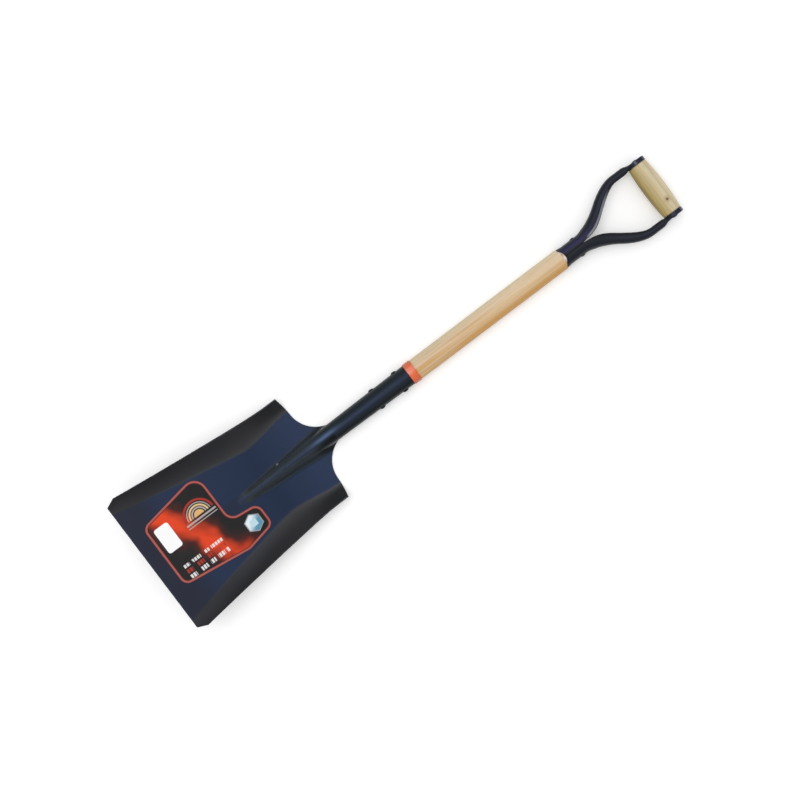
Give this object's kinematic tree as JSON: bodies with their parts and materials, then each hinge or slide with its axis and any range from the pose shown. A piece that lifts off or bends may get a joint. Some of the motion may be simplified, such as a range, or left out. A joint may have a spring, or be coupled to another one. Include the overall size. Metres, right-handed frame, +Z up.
{
  "type": "square mouth shovel",
  "caption": "Square mouth shovel with a pressed open-back steel blade, a straight wooden shaft and a D-shaped steel yoke with a turned wooden grip.",
  "frame": {"origin": "on the ground at the middle of the shovel's length and width, the shovel lying on its back with the blade's heel on the ground", "axes": "+X from the blade's mouth to the grip, +Y across the shovel, +Z up, out of the blade's face"},
  "size_m": [0.9862, 0.2402, 0.0765],
  "materials": {
    "blade_paint": "satin dark navy paint over pressed steel",
    "yoke_paint": "satin near-black navy paint",
    "rivet_paint": "satin paint over steel rivets",
    "shaft_wood": "sanded ash, waxed",
    "grip_wood": "turned ash, bare",
    "ring_plastic": "glossy orange plastic",
    "label_film": "glossy printed film with a plain abstract design"
  },
  "bodies": {
    "root": {"blade": "blade_paint", "shaft": "shaft_wood", "socket_ring": "ring_plastic", "socket_rivet_lower": "rivet_paint", "socket_rivet_upper": "rivet_paint", "yoke": "yoke_paint", "yoke_rivet": "rivet_paint", "grip": "grip_wood", "grip_pin": "rivet_paint", "label": "label_film"}
  },
  "joints": []
}
